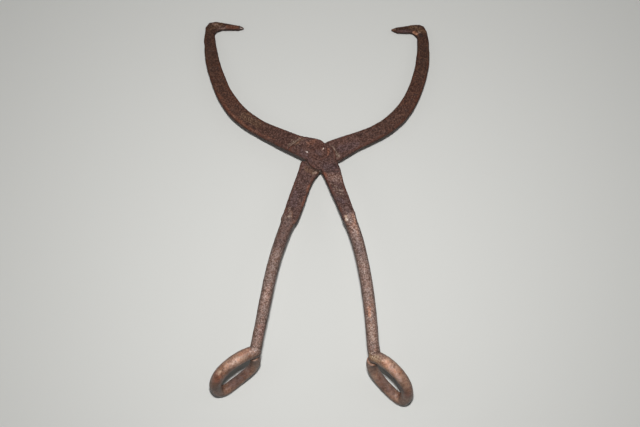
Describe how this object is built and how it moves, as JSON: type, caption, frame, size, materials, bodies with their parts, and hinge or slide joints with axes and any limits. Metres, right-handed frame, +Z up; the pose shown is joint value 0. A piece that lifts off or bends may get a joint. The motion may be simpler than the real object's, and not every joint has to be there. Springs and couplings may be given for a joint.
{
  "type": "scissor lifting tongs",
  "caption": "Hand-forged scissor tongs: two crossed arms on a rivet, curved jaws with inward points, and round grip rods bent into open eyes.",
  "frame": {"origin": "middle of the overall box, on the floor that the tongs lie on", "axes": "+Y from the grip eyes to the points, +Z up from the floor, +X towards the lower arm's jaw; the tongs lie on their points and grip eyes, so the rivet leans 6.1 degrees from +Z towards +Y"},
  "size_m": [0.3414, 0.5729, 0.0739],
  "materials": {
    "forged_blades": "dark red-brown rust, pitted, with worn orange bevels",
    "grip_rods": "brown-grey rust, rubbed smoother by hands, with orange patches",
    "rivet_iron": "dark brown rust, rubbed to a low sheen on the head"
  },
  "bodies": {
    "lower_arm": {"lower_jaw_blade": "forged_blades", "lower_grip_rod": "grip_rods", "pivot_rivet": "rivet_iron", "rivet_washer": "rivet_iron"},
    "upper_arm": {"upper_jaw_blade": "forged_blades", "upper_grip_rod": "grip_rods"}
  },
  "joints": [
    {"name": "rivet_hinge", "type": "hinge", "parent": "lower_arm", "child": "upper_arm", "pos_m": [0.00538, 0.07013, 0.0276], "axis": [0, 0.1063, 0.9943], "range_deg": [-25, 45]}
  ]
}
